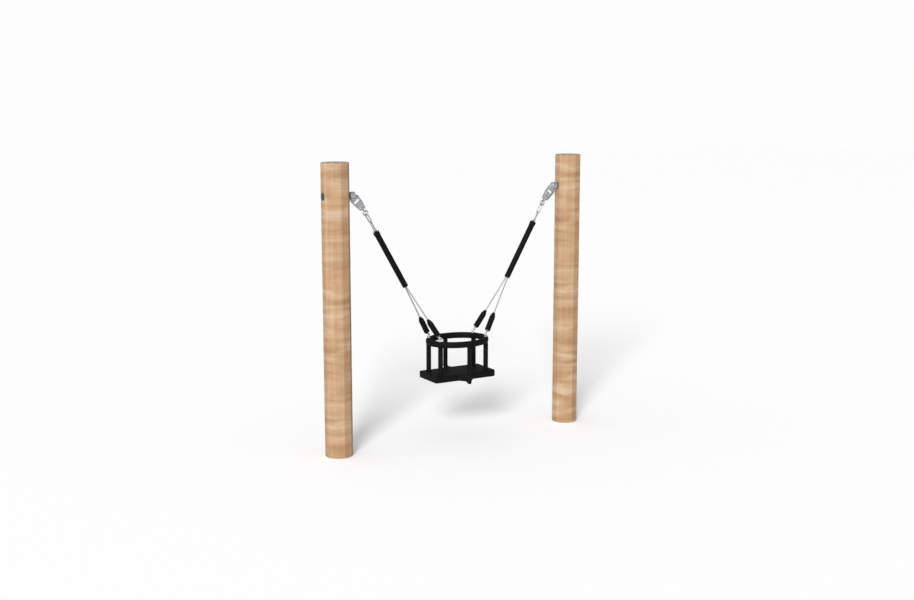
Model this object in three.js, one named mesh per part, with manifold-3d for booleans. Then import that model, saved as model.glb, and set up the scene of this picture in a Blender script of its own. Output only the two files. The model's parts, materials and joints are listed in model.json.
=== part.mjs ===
// Toddler cradle swing: a rubber cage seat hung in a V between two separate timber posts.
// Millimetres, +Z up. X runs along the line of the two posts and the child faces -Y.
// The origin is on the ground, midway between the posts. Left is -X and right is +X.
// Every hinge of the swing runs along X: at the bearings, at the top of the chains and at the
// rope bends, so the two hanging sides always swing as one.

import * as THREE from 'three';
import { RoundedBoxGeometry } from 'three/addons/geometries/RoundedBoxGeometry.js';
import { mergeVertices } from 'three/addons/utils/BufferGeometryUtils.js';
import Module from 'manifold-3d';

const wasm = await Module();
wasm.setup();

// Driving dimensions

const GAP = 0.3; // clearance between pieces that touch
const SIDES = [['left', -1], ['right', 1]];

const POST = { height: 1870, spacing: 1747, vertexRadius: 90, flats: 10, topChamfer: 5 };
POST.flatRadius = POST.vertexRadius * Math.cos(Math.PI / POST.flats);

const AXLE = { height: 1660, radius: 8, headRadius: 11.5, headLength: 7 };
const COUNTERBORE = { radius: 25.3, depth: 24 };
const CAP = { radius: 24.7, thickness: 8, dome: 3 };
const NUT = { acrossCorners: 27.6, thickness: 12, flangeRadius: 18, flangeThickness: 3 };
const SPACER = { radius: 20, thickness: 9 };

const HEAD = { radius: 24, length: 34, fromPostFace: 28, edge: 3 }; // bearing housing round the axle
const BUSH = { radius: 12, length: 24 };
const LUG = { end: 42, halfWidth: 21.6, halfDepth: 11, round: 4 };
const YOKE = { start: 12, shoulder: 60, innerEnd: 108, end: 118, halfDepth: 12 };
YOKE.outer = { shoulder: 28.5, end: 19 };
YOKE.inner = { shoulder: 22, end: 14.5 };
const YOKE_PIN = { at: 30, radius: 5, headRadius: 8, headLength: 3 };
const BLOCK = { start: 62, end: 92, halfDepth: 11, trunnionAt: 78, trunnionRadius: 5 };
const SWIVEL = { stemStart: 74, stemRadius: 5, collarRadius: 9, eyeRadius: 9, wire: 3.8 };

const CHAIN_TOP = { x: 659, z: 1532 }; // centre of the top link's lower wire
const ROPE_BEND = { x: 384, z: 1052 }; // centre of the last chain link's lower wire
const TOP_LINK = { length: 40, width: 40, wire: 4.5, turn: -5 };
const CHAIN = { width: 30, wire: 4, links: 9, loose: 2, turn: 70 };
const SLEEVE = { start: 128, bore: 16, radius: 18.7, collarRadius: 20.4 };
SLEEVE.collarLength = 25;
SLEEVE.aboveBend = 5;

const ROPE = { radius: 5, bendRadius: 9.8, ferruleRadius: 8, ferruleLength: 50 };
const END_EYE = { radius: 9, wire: 3.5 }; // pressed eye at each rope end
const BOOT = { start: 30, length: 130, radius: 18.5, bore: 15, coneLength: 34 };
const CORNER_LINK = { length: 30, width: 24, wire: 3 };
const EYE_BOLT = { eyeRadius: 10.5, wire: 3.5, aboveRing: 15, shank: 5, collarRadius: 12 };
EYE_BOLT.nut = { acrossCorners: 19.6, thickness: 8, pocketRadius: 12 };

const RING = { semiX: 200, semiY: 160, halfWidth: 18, bottom: 644, top: 684 };
const CORNER = { x: 173, y: 80 };
const PLATE = { halfLength: 229, halfWidth: 117, bottom: 414, top: 459, corner: 16, edge: 5 };
const INSERT = { halfLength: 195, halfWidth: 92, bottom: 434, thickness: 4 };
const BEAK = { rootHalfWidth: 62, tipRadius: 15, bottom: 397 };
const LUG_BACK = { rootHalfWidth: 28, tipRadius: 15 };
const BAR = { cornerRadius: 16, middleRadius: 15, footRadius: 18, footHeight: 12 };

// Materials

function finish(color, roughness, metalness) {
  return new THREE.MeshStandardMaterial({ color, roughness, metalness });
}

const wood = finish(0xd4ae84, 0.75, 0);
const rubber = finish(0x1b1b1b, 0.8, 0);
const blackPlastic = finish(0x141414, 0.5, 0);
const galvanised = finish(0x9a9ba2, 0.45, 0.9);
const wireRope = finish(0xb4b5b8, 0.4, 0.9);
const bronze = finish(0xa07c45, 0.45, 0.9);

// Geometry helpers

function vec(x, y, z) {
  return new THREE.Vector3(x, y, z);
}

function along(start, direction, distance) {
  return start.clone().addScaledVector(direction, distance);
}

// The frame whose X axis is `direction` and whose Y axis lies as near as can be to `sideways`.
function frameAt(origin, direction, sideways) {
  const z = direction.clone().cross(sideways).normalize();
  const y = z.clone().cross(direction).normalize();
  return new THREE.Matrix4().makeBasis(direction, y, z).setPosition(origin);
}

function toSolid(geometry) {
  const bare = geometry.clone();
  bare.deleteAttribute('normal');
  bare.deleteAttribute('uv');
  const merged = mergeVertices(bare, 1e-4);
  const corners = merged.index.array;
  const kept = [];
  for (let i = 0; i < corners.length; i += 3) {
    const [a, b, c] = [corners[i], corners[i + 1], corners[i + 2]];
    if (a !== b && b !== c && c !== a) kept.push(a, b, c);
  }
  const vertProperties = new Float32Array(merged.attributes.position.array);
  const triVerts = new Uint32Array(kept);
  return new wasm.Manifold(new wasm.Mesh({ numProp: 3, vertProperties, triVerts }));
}

function toGeometry(solid) {
  const { vertProperties, triVerts } = solid.getMesh();
  const geometry = new THREE.BufferGeometry();
  geometry.setAttribute('position', new THREE.BufferAttribute(vertProperties, 3));
  geometry.setIndex(new THREE.BufferAttribute(triVerts, 1));
  geometry.computeVertexNormals();
  return geometry;
}

// Joins the first list of closed geometries, then cuts the second list out of them.
function shaped(joined, cut = []) {
  let solid = toSolid(joined[0]);
  for (const piece of joined.slice(1)) solid = solid.add(toSolid(piece));
  for (const piece of cut) solid = solid.subtract(toSolid(piece));
  return toGeometry(solid);
}

// A round bar between two points.
function rod(from, to, radius, sides = 16) {
  const direction = to.clone().sub(from);
  const length = direction.length();
  const geometry = new THREE.CylinderGeometry(radius, radius, length, sides);
  const turn = new THREE.Quaternion().setFromUnitVectors(vec(0, 1, 0), direction.normalize());
  geometry.applyQuaternion(turn);
  const middle = from.clone().add(to).multiplyScalar(0.5);
  return geometry.translate(middle.x, middle.y, middle.z);
}

// A hexagonal bar between two points.
function hexBar(from, to, acrossCorners) {
  return rod(from, to, acrossCorners / 2, 6);
}

// A shape turned about the X axis from [distance along X, radius] pairs.
function turned(profile, sides = 28) {
  const points = profile.map(([x, radius]) => new THREE.Vector2(radius, x));
  return new THREE.LatheGeometry(points, sides).rotateZ(-Math.PI / 2);
}

// A round wire ring about the origin, in the XY plane.
function wireRing(radius, wire, turns = 20, around = 8) {
  return new THREE.TorusGeometry(radius, wire, around, turns);
}

// A long chain link in the XY plane with its length along X. The torus is cut between two of
// its rings and pulled apart.
function wireLink({ length, width, wire }, turns = 16, around = 8) {
  const radius = (width / 2 - wire) / Math.cos(Math.PI / turns);
  const geometry = wireRing(radius, wire, turns, around);
  geometry.rotateZ(Math.PI / turns);
  const stretch = (length - width) / 2;
  const position = geometry.attributes.position;
  for (let i = 0; i < position.count; i += 1) {
    position.setX(i, position.getX(i) + Math.sign(position.getX(i)) * stretch);
  }
  return geometry;
}

function roundedBox(x0, x1, halfY, halfZ, round) {
  const box = new RoundedBoxGeometry(x1 - x0, 2 * halfY, 2 * halfZ, 2, round);
  return box.translate((x0 + x1) / 2, 0, 0);
}

// An outline in local X and Z, made `halfDepth` thick to both sides along Y.
function slab(outline, halfDepth) {
  const shape = new THREE.Shape(outline.map(([x, z]) => new THREE.Vector2(x, -z)));
  const geometry = new THREE.ExtrudeGeometry(shape, { depth: 2 * halfDepth, bevelEnabled: false });
  return geometry.translate(0, 0, -halfDepth).rotateX(Math.PI / 2);
}

const swing = new THREE.Group();

function addMesh(parent, name, geometry, material) {
  const mesh = new THREE.Mesh(geometry, material);
  mesh.name = name;
  parent.add(mesh);
  return mesh;
}

function addGroup(frame) {
  const group = new THREE.Group();
  group.applyMatrix4(frame);
  swing.add(group);
  return group;
}

// Posts, axle bolts and what holds them. Each post's own frame has X pointing inwards,
// from the post's centre to the seat.

function postGeometry() {
  const { height, vertexRadius, flats, topChamfer } = POST;
  const profile = [
    new THREE.Vector2(0, 0),
    new THREE.Vector2(vertexRadius, 0),
    new THREE.Vector2(vertexRadius, height - topChamfer),
    new THREE.Vector2(vertexRadius - topChamfer, height),
    new THREE.Vector2(0, height),
  ];
  const prism = new THREE.LatheGeometry(profile, flats).rotateX(Math.PI / 2);
  const outerFace = -POST.flatRadius;
  const bore = rod(vec(-100, 0, AXLE.height), vec(100, 0, AXLE.height), AXLE.radius + 1);
  const counterbore = rod(
    vec(outerFace - 1, 0, AXLE.height),
    vec(outerFace + COUNTERBORE.depth, 0, AXLE.height),
    COUNTERBORE.radius,
    28,
  );
  return shaped([prism], [bore, counterbore]);
}

function axleBoltGeometry(axleEnd) {
  const seat = -POST.flatRadius + COUNTERBORE.depth;
  const threadEnd = seat - GAP - NUT.flangeThickness - NUT.thickness - 2;
  const shank = rod(vec(threadEnd, 0, 0), vec(axleEnd, 0, 0), AXLE.radius);
  const head = rod(vec(axleEnd - AXLE.headLength, 0, 0), vec(axleEnd, 0, 0), AXLE.headRadius);
  return shaped([shank, head]);
}

function axleNutGeometry() {
  const seat = -POST.flatRadius + COUNTERBORE.depth - GAP;
  const flangeFace = seat - NUT.flangeThickness;
  const flange = rod(vec(flangeFace, 0, 0), vec(seat, 0, 0), NUT.flangeRadius);
  const hexEnd = flangeFace - NUT.thickness;
  const hex = hexBar(vec(hexEnd, 0, 0), vec(flangeFace + 1, 0, 0), NUT.acrossCorners);
  const hole = rod(vec(hexEnd - 1, 0, 0), vec(seat + 1, 0, 0), AXLE.radius + GAP);
  return shaped([flange, hex], [hole]);
}

function capGeometry() {
  const face = -POST.flatRadius;
  const { radius, thickness, dome } = CAP;
  const innerFace = face + thickness - dome;
  const profile = [];
  const domeSteps = 3;
  for (let i = 0; i <= domeSteps; i += 1) {
    const angle = (i / domeSteps) * (Math.PI / 2);
    profile.push([face - dome * Math.cos(angle), radius * Math.sin(angle)]);
  }
  profile.push([innerFace, radius], [innerFace, 0]);
  return turned(profile, 28);
}

function spacerGeometry() {
  const face = POST.flatRadius + GAP;
  const disc = rod(vec(face, 0, 0), vec(face + SPACER.thickness, 0, 0), SPACER.radius, 24);
  const hole = rod(vec(face - 1, 0, 0), vec(face + SPACER.thickness + 1, 0, 0), AXLE.radius + GAP);
  return shaped([disc], [hole]);
}

function addPost(side, sign) {
  const inwards = vec(-sign, 0, 0);
  const foot = vec((sign * POST.spacing) / 2, 0, 0);
  const post = addGroup(frameAt(foot, inwards, vec(0, -sign, 0)));
  addMesh(post, `${side}_post`, postGeometry(), wood);
  const axle = new THREE.Group();
  axle.position.z = AXLE.height;
  post.add(axle);
  const headCentre = POST.flatRadius + HEAD.fromPostFace;
  const axleEnd = headCentre + BUSH.length / 2;
  addMesh(axle, `${side}_axle_bolt`, axleBoltGeometry(axleEnd), galvanised);
  addMesh(axle, `${side}_bolt_nut`, axleNutGeometry(), galvanised);
  addMesh(axle, `${side}_bolt_cap`, capGeometry(), blackPlastic);
  addMesh(axle, `${side}_spacer_flange`, spacerGeometry(), galvanised);
}

// Hangers. A hanger's frame has its origin on the axle, X down its slope, Y along the
// world's Y, and Z across the slope. `outwards` points along the axle, to the post.

const HEAD_X = POST.spacing / 2 - POST.flatRadius - HEAD.fromPostFace;

function chainDirection(sign) {
  const x = ROPE_BEND.x - CHAIN_TOP.x;
  return vec(sign * x, 0, ROPE_BEND.z - CHAIN_TOP.z).normalize();
}

// How far above the chain's top hinge the swivel eye's centre sits.
function swivelEyeRise() {
  const topLinkWires = TOP_LINK.length - 2 * TOP_LINK.wire;
  return topLinkWires + SWIVEL.eyeRadius - (SWIVEL.wire + TOP_LINK.wire + GAP);
}

function hangerAt(sign) {
  const axle = vec(sign * HEAD_X, 0, AXLE.height);
  const chainTop = vec(sign * CHAIN_TOP.x, 0, CHAIN_TOP.z);
  const eye = along(chainTop, chainDirection(sign), -swivelEyeRise());
  const down = eye.clone().sub(axle);
  const length = down.length();
  const frame = frameAt(axle, down.normalize(), vec(0, 1, 0));
  const outwards = vec(sign, 0, 0).transformDirection(frame.clone().invert());
  return { frame, length, outwards };
}

function housingGeometry(outwards) {
  const { radius, edge } = HEAD;
  const half = HEAD.length / 2;
  const barrel = turned([
    [-half, 0],
    [-half, radius - edge],
    [edge - half, radius],
    [half - edge, radius],
    [half, radius - edge],
    [half, 0],
  ]);
  barrel.applyMatrix4(frameAt(vec(0, 0, 0), outwards, vec(0, 1, 0)));
  const lug = roundedBox(0, LUG.end, LUG.halfDepth, LUG.halfWidth, LUG.round);
  const boreEnd = -BUSH.length / 2 - GAP;
  const bore = rod(
    outwards.clone().multiplyScalar(boreEnd),
    outwards.clone().multiplyScalar(half + 1),
    BUSH.radius + GAP,
  );
  const reach = LUG.halfWidth + 20;
  const pinHole = rod(
    vec(YOKE_PIN.at, 0, -reach),
    vec(YOKE_PIN.at, 0, reach),
    YOKE_PIN.radius + GAP,
  );
  return shaped([barrel, lug], [bore, pinHole]);
}

function bushGeometry(outwards) {
  const inner = -BUSH.length / 2 + AXLE.headLength + GAP;
  const outer = HEAD.length / 2 - 1;
  const sleeve = rod(
    outwards.clone().multiplyScalar(inner),
    outwards.clone().multiplyScalar(outer),
    BUSH.radius,
  );
  const bore = rod(
    outwards.clone().multiplyScalar(inner - 1),
    outwards.clone().multiplyScalar(outer + 1),
    AXLE.radius + GAP,
  );
  return shaped([sleeve], [bore]);
}

function mirroredOutline(points) {
  const other = points.map(([x, z]) => [x, -z]).reverse();
  return [...points, ...other];
}

function yokeGeometry(outwards) {
  const { start, shoulder, innerEnd, end, outer, inner, halfDepth } = YOKE;
  const body = slab(
    mirroredOutline([
      [start, outer.shoulder],
      [shoulder, outer.shoulder],
      [end - 4, outer.end],
      [end, outer.end - 4],
    ]),
    halfDepth,
  );
  const window = slab(
    mirroredOutline([
      [start - 1, inner.shoulder],
      [shoulder, inner.shoulder],
      [innerEnd - 3, inner.end],
      [innerEnd, inner.end - 3],
    ]),
    halfDepth + 1,
  );
  const barrelRoom = rod(
    outwards.clone().multiplyScalar(-HEAD.length),
    outwards.clone().multiplyScalar(HEAD.length),
    HEAD.radius + 2 * GAP,
    28,
  );
  const reach = outer.shoulder + 1;
  const pinHole = rod(
    vec(YOKE_PIN.at, 0, -reach),
    vec(YOKE_PIN.at, 0, reach),
    YOKE_PIN.radius + GAP,
  );
  const trunnionHole = rod(
    vec(BLOCK.trunnionAt, 0, -reach),
    vec(BLOCK.trunnionAt, 0, reach),
    BLOCK.trunnionRadius + GAP,
  );
  const stemHole = rod(vec(innerEnd - 1, 0, 0), vec(end + 1, 0, 0), SWIVEL.stemRadius + GAP);
  return shaped([body], [window, barrelRoom, pinHole, trunnionHole, stemHole]);
}

function yokePinGeometry() {
  const face = YOKE.outer.shoulder + GAP;
  const reach = face + YOKE_PIN.headLength;
  const at = YOKE_PIN.at;
  const pin = rod(vec(at, 0, -reach), vec(at, 0, reach), YOKE_PIN.radius);
  const heads = [-1, 1].map((end) =>
    rod(vec(at, 0, end * face), vec(at, 0, end * reach), YOKE_PIN.headRadius),
  );
  return shaped([pin, ...heads]);
}

// Half the width of the yoke's window at a distance down the slope.
function windowHalfWidth(x) {
  const { shoulder, innerEnd, inner } = YOKE;
  const share = (x - shoulder) / (innerEnd - 3 - shoulder);
  return inner.shoulder + (inner.end - inner.shoulder) * share;
}

function swivelBlockGeometry() {
  const { start, end, halfDepth, trunnionAt, trunnionRadius } = BLOCK;
  const clearance = 0.6;
  const body = slab(
    mirroredOutline([
      [start, windowHalfWidth(start) - clearance],
      [end, windowHalfWidth(end) - clearance],
    ]),
    halfDepth,
  );
  const reach = windowHalfWidth(trunnionAt) + 6;
  const trunnions = rod(vec(trunnionAt, 0, -reach), vec(trunnionAt, 0, reach), trunnionRadius);
  const stemBore = rod(
    vec(SWIVEL.stemStart - GAP, 0, 0),
    vec(end + 1, 0, 0),
    SWIVEL.stemRadius + GAP,
  );
  return shaped([body, trunnions], [stemBore]);
}

function swivelEyeGeometry(length) {
  const { stemStart, stemRadius, collarRadius, eyeRadius, wire } = SWIVEL;
  const eyeTop = length - eyeRadius;
  const collarStart = YOKE.end + GAP;
  const stem = rod(vec(stemStart, 0, 0), vec(eyeTop, 0, 0), stemRadius);
  const collar = rod(vec(collarStart, 0, 0), vec(eyeTop - 1, 0, 0), collarRadius);
  const eye = wireRing(eyeRadius, wire, 18, 8);
  eye.rotateX(THREE.MathUtils.degToRad(TOP_LINK.turn));
  eye.translate(length, 0, 0);
  return shaped([stem, collar, eye]);
}

function addHanger(side, sign) {
  const { frame, length, outwards } = hangerAt(sign);
  const hanger = addGroup(frame);
  addMesh(hanger, `${side}_bearing_housing`, housingGeometry(outwards), galvanised);
  addMesh(hanger, `${side}_bearing_bush`, bushGeometry(outwards), bronze);
  addMesh(hanger, `${side}_yoke`, yokeGeometry(outwards), galvanised);
  addMesh(hanger, `${side}_yoke_pin`, yokePinGeometry(), galvanised);
  addMesh(hanger, `${side}_swivel_block`, swivelBlockGeometry(), galvanised);
  addMesh(hanger, `${side}_swivel_eye`, swivelEyeGeometry(length), galvanised);
}

// Chains. A chain's frame has its origin at the lower wire of the top link, X down the chain
// and Y along the world's Y. A link that is turned by 0 degrees faces along Y.

function faceLink(mesh, turn) {
  mesh.rotation.x = THREE.MathUtils.degToRad(turn - 90);
}

// The chain comes out of its top link twisted, and the twist dies away down the sleeve.
function linkTurn(number) {
  const share = (CHAIN.links - number) / (CHAIN.links - 1);
  const leftOver = CHAIN.turn * share ** 3;
  return number % 2 === 0 ? leftOver - 90 : leftOver;
}

// The links are as long as the drop needs. Each one's upper wire sits `hook` above the lower
// wire of the link before it.
const dropLength = Math.hypot(CHAIN_TOP.x - ROPE_BEND.x, CHAIN_TOP.z - ROPE_BEND.z);
const firstWire = -(TOP_LINK.wire + CHAIN.wire + 3 * GAP);
const hook = 2 * CHAIN.wire + GAP;
const wireLength = (dropLength - firstWire + hook * (CHAIN.links - 1)) / CHAIN.links;
const linkLength = wireLength + 2 * CHAIN.wire;
const linkPitch = wireLength - hook;

function linkCentre(number) {
  return firstWire + wireLength / 2 + (number - 1) * linkPitch;
}

// The links inside the sleeve hang tight, so they are one piece here.
function sleevedChainGeometry() {
  const overlap = 1.2;
  const links = [];
  for (let number = CHAIN.loose + 1; number <= CHAIN.links; number += 1) {
    const upperCut = number === CHAIN.loose + 1 ? 0 : overlap / 2;
    const lowerCut = number === CHAIN.links ? 0 : overlap / 2;
    const link = wireLink({ ...CHAIN, length: linkLength - upperCut - lowerCut }, 8, 6);
    link.rotateX(THREE.MathUtils.degToRad(linkTurn(number) - 90));
    link.translate(linkCentre(number) + (upperCut - lowerCut) / 2, 0, 0);
    links.push(link);
  }
  return shaped(links);
}

function sleeveGeometry() {
  const { start, bore, radius, collarRadius, collarLength, aboveBend } = SLEEVE;
  const collarEnd = start + collarLength;
  const end = dropLength - aboveBend;
  return turned([
    [start, bore],
    [start, collarRadius - 2],
    [start + 2, collarRadius],
    [collarEnd - 2, collarRadius],
    [collarEnd, radius],
    [end - 3, radius],
    [end, radius - 1.5],
    [end, bore],
    [start, bore],
  ], 24);
}

function addChain(side, sign) {
  const top = vec(sign * CHAIN_TOP.x, 0, CHAIN_TOP.z);
  const chain = addGroup(frameAt(top, chainDirection(sign), vec(0, 1, 0)));
  const topLink = addMesh(chain, `${side}_top_link`, wireLink(TOP_LINK, 16, 8), galvanised);
  topLink.position.x = -(TOP_LINK.length / 2 - TOP_LINK.wire);
  faceLink(topLink, TOP_LINK.turn);
  for (let number = 1; number <= CHAIN.loose; number += 1) {
    const shape = wireLink({ ...CHAIN, length: linkLength });
    const link = addMesh(chain, `${side}_chain_link_${number}`, shape, galvanised);
    link.position.x = linkCentre(number);
    faceLink(link, linkTurn(number));
  }
  addMesh(chain, `${side}_sleeved_chain`, sleevedChainGeometry(), galvanised);
  addMesh(chain, `${side}_chain_sleeve`, sleeveGeometry(), rubber);
}

// Rope slings. One wire rope on each side runs from the front corner of the seat up through
// the last chain link and down to the back corner. Its plane holds the world's Y.

const eyeHeight = RING.top + EYE_BOLT.aboveRing;

// The line of one rope leg: where it leaves the bend, and its direction down to the corner.
function ropeLeg(sign, frontBack) {
  const bend = vec(sign * ROPE_BEND.x, 0, ROPE_BEND.z);
  const eye = vec(sign * CORNER.x, frontBack * CORNER.y, eyeHeight);
  const middle = vec(eye.x, 0, eye.z).sub(bend);
  const fall = middle.length();
  const downwards = middle.normalize();
  const distance = Math.hypot(fall, CORNER.y);
  const angle = Math.atan2(CORNER.y, fall) + Math.acos(ROPE.bendRadius / distance);
  const tangent = bend.clone();
  tangent.addScaledVector(downwards, ROPE.bendRadius * Math.cos(angle));
  tangent.y = frontBack * ROPE.bendRadius * Math.sin(angle);
  const upwards = tangent.clone().sub(eye).normalize();
  return { bend, eye, tangent, upwards, downwards, angle };
}

// Distances from an eye bolt's centre, up the rope leg.
const linkLowWire = EYE_BOLT.eyeRadius - (EYE_BOLT.wire + CORNER_LINK.wire + GAP);
const linkHighWire = linkLowWire + CORNER_LINK.length - 2 * CORNER_LINK.wire;
const endEyeCentre = linkHighWire - (CORNER_LINK.wire + END_EYE.wire + GAP) + END_EYE.radius;
const ferruleStart = endEyeCentre + END_EYE.radius;

// The upright plane of a corner's eye bolt holds the rope leg, so its normal is level.
function eyeNormal(leg) {
  return leg.upwards.clone().cross(vec(0, 0, 1)).normalize();
}

// A ring or link of a corner, with its length up the rope leg, facing along `normal`.
function onLeg(geometry, leg, distance, normal) {
  const sideways = normal.clone().cross(leg.upwards);
  return geometry.applyMatrix4(frameAt(along(leg.eye, leg.upwards, distance), leg.upwards, sideways));
}

function slingGeometry(sign) {
  const legs = [ropeLeg(sign, -1), ropeLeg(sign, 1)];
  const { bend, downwards, angle } = legs[0];
  const overlap = 3;
  const bendPoints = [along(legs[1].tangent, legs[1].upwards, -2 * overlap)];
  const bendSteps = 8;
  for (let i = 0; i <= bendSteps; i += 1) {
    const at = angle + (i / bendSteps) * (2 * Math.PI - 2 * angle);
    const point = along(bend, downwards, ROPE.bendRadius * Math.cos(at));
    point.y = ROPE.bendRadius * Math.sin(at);
    bendPoints.push(point);
  }
  bendPoints.push(along(legs[0].tangent, legs[0].upwards, -2 * overlap));
  const section = new THREE.Shape().absarc(0, 0, ROPE.radius, 0, 2 * Math.PI);
  const extrudePath = new THREE.CatmullRomCurve3(bendPoints);
  const pieces = [
    new THREE.ExtrudeGeometry(section, { extrudePath, steps: 14, curveSegments: 4 }),
  ];
  for (const leg of legs) {
    const start = along(leg.tangent, leg.upwards, -overlap);
    const ferruleEnd = along(leg.eye, leg.upwards, ferruleStart + ROPE.ferruleLength);
    const ferruleFoot = along(leg.eye, leg.upwards, ferruleStart);
    pieces.push(rod(ferruleFoot, start, ROPE.radius, 8));
    pieces.push(rod(ferruleFoot, ferruleEnd, ROPE.ferruleRadius, 12));
    const endEye = wireRing(END_EYE.radius, END_EYE.wire, 12, 6);
    pieces.push(onLeg(endEye, leg, endEyeCentre, eyeNormal(leg)));
  }
  return shaped(pieces);
}

function bootGeometry() {
  const { start, length, radius, bore, coneLength } = BOOT;
  const end = start + length;
  const coneStart = end - coneLength;
  const hole = ROPE.radius + 0.6;
  return turned([
    [start, bore],
    [start, radius - 1],
    [start + 1, radius],
    [coneStart, radius],
    [coneStart + 12, radius - 2.5],
    [end, hole + 1.6],
    [end, hole],
    [coneStart + 22, hole],
    [coneStart - 4, bore],
    [start, bore],
  ], 16);
}

// Corners of the seat: eye bolt right through to its nut under the plate, link and boot.

function eyeBoltGeometry(leg) {
  const { eyeRadius, wire, shank, collarRadius } = EYE_BOLT;
  const { x, y } = leg.eye;
  const normal = eyeNormal(leg);
  const eye = wireRing(eyeRadius, wire, 12, 6);
  eye.applyMatrix4(frameAt(leg.eye, vec(0, 0, 1), normal.clone().cross(vec(0, 0, 1))));
  const collarBottom = RING.top + GAP;
  const collarTop = leg.eye.z - eyeRadius;
  const collar = rod(vec(x, y, collarBottom), vec(x, y, collarTop), collarRadius, 12);
  const tip = INSERT.bottom - EYE_BOLT.nut.thickness - 3;
  const bolt = rod(vec(x, y, tip), vec(x, y, collarTop), shank, 12);
  return shaped([eye, collar, bolt]);
}

function eyeBoltNutGeometry(x, y) {
  const top = INSERT.bottom - GAP;
  const bottom = top - EYE_BOLT.nut.thickness;
  const hex = hexBar(vec(x, y, bottom), vec(x, y, top), EYE_BOLT.nut.acrossCorners);
  const hole = rod(vec(x, y, bottom - 1), vec(x, y, top + 1), EYE_BOLT.shank + GAP, 12);
  return shaped([hex], [hole]);
}

function addCorner(corner, sign, frontBack) {
  const leg = ropeLeg(sign, frontBack);
  addMesh(swing, `${corner}_eye_bolt`, eyeBoltGeometry(leg), galvanised);
  addMesh(swing, `${corner}_eye_bolt_nut`, eyeBoltNutGeometry(leg.eye.x, leg.eye.y), galvanised);
  const linkFace = eyeNormal(leg).cross(leg.upwards);
  const linkCentreUp = (linkLowWire + linkHighWire) / 2;
  const link = onLeg(wireLink(CORNER_LINK, 12, 6), leg, linkCentreUp, linkFace);
  addMesh(swing, `${corner}_corner_link`, link, galvanised);
  addMesh(swing, `${corner}_rope_boot`, onLeg(bootGeometry(), leg, 0, eyeNormal(leg)), rubber);
}

// Seat

const CORNERS = [
  ['front_left', -1, -1],
  ['front_right', 1, -1],
  ['back_left', -1, 1],
  ['back_right', 1, 1],
];

function cornerHoles(bottom, top, radius) {
  return CORNERS.map(([, sign, frontBack]) => {
    const [x, y] = [sign * CORNER.x, frontBack * CORNER.y];
    return rod(vec(x, y, bottom), vec(x, y, top), radius, 12);
  });
}

// The ring's section is a soft-cornered oblong, carried round the oval square to it.
function seatRingGeometry() {
  const { semiX, semiY, halfWidth, bottom, top } = RING;
  const halfHeight = (top - bottom) / 2;
  const sectionSteps = 12;
  const profile = [];
  for (let i = 0; i <= sectionSteps; i += 1) {
    const angle = (i / sectionSteps) * 2 * Math.PI;
    const [c, s] = [Math.cos(angle), Math.sin(angle)];
    const squareness = 1 / (Math.abs(c) ** 3 + Math.abs(s) ** 3) ** (1 / 3);
    profile.push(new THREE.Vector2(semiY + halfWidth * c * squareness, halfHeight * s * squareness));
  }
  const ring = new THREE.LatheGeometry(profile, 36).rotateX(Math.PI / 2);
  const position = ring.attributes.position;
  for (let i = 0; i < position.count; i += 1) {
    const angle = Math.atan2(position.getY(i), position.getX(i));
    const offset = Math.hypot(position.getX(i), position.getY(i)) - semiY;
    const normal = vec(Math.cos(angle) / semiX, Math.sin(angle) / semiY, 0).normalize();
    position.setX(i, semiX * Math.cos(angle) + offset * normal.x);
    position.setY(i, semiY * Math.sin(angle) + offset * normal.y);
  }
  ring.translate(0, 0, (bottom + top) / 2);
  return shaped([ring], cornerHoles(bottom - 1, top + 1, EYE_BOLT.shank + GAP));
}

// A tongue's straight sides meet its round tip at this angle to both sides of its middle line.
function tipAngle(rootHalfWidth, reach, radius) {
  const rootDistance = Math.hypot(rootHalfWidth, reach);
  return Math.PI - Math.atan2(rootHalfWidth, reach) - Math.acos(radius / rootDistance);
}

// The seat plate seen from above, drawn `inset` inside its edge: an oblong with a pointed
// tongue in front for the crotch bar and a short lug behind for the back bar.
function plateOutline(inset) {
  const x = PLATE.halfLength - inset;
  const y = PLATE.halfWidth - inset;
  const r = PLATE.corner - inset;
  const tongue = BEAK.tipRadius - inset;
  const lug = LUG_BACK.tipRadius - inset;
  const reach = RING.semiY - y;
  const tongueAngle = tipAngle(BEAK.rootHalfWidth - inset, reach, tongue);
  const lugAngle = tipAngle(LUG_BACK.rootHalfWidth - inset, reach, lug);
  const front = 1.5 * Math.PI;
  const back = 0.5 * Math.PI;
  const outline = new THREE.Shape();
  outline.moveTo(-x + r, -y);
  outline.lineTo(-BEAK.rootHalfWidth + inset, -y);
  outline.absarc(0, -RING.semiY, tongue, front - tongueAngle, front + tongueAngle, false);
  outline.lineTo(BEAK.rootHalfWidth - inset, -y);
  outline.lineTo(x - r, -y);
  outline.absarc(x - r, -y + r, r, -Math.PI / 2, 0, false);
  outline.lineTo(x, y - r);
  outline.absarc(x - r, y - r, r, 0, Math.PI / 2, false);
  outline.lineTo(LUG_BACK.rootHalfWidth - inset, y);
  outline.absarc(0, RING.semiY, lug, back - lugAngle, back + lugAngle, false);
  outline.lineTo(-LUG_BACK.rootHalfWidth + inset, y);
  outline.lineTo(-x + r, y);
  outline.absarc(-x + r, y - r, r, Math.PI / 2, Math.PI, false);
  outline.lineTo(-x, -y + r);
  outline.absarc(-x + r, -y + r, r, Math.PI, 1.5 * Math.PI, false);
  return outline;
}

// Level box of the given half sizes between two heights.
function levelBox(halfX, halfY, bottom, top) {
  const box = new THREE.BoxGeometry(2 * halfX, 2 * halfY, top - bottom);
  return box.translate(0, 0, (bottom + top) / 2);
}

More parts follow.
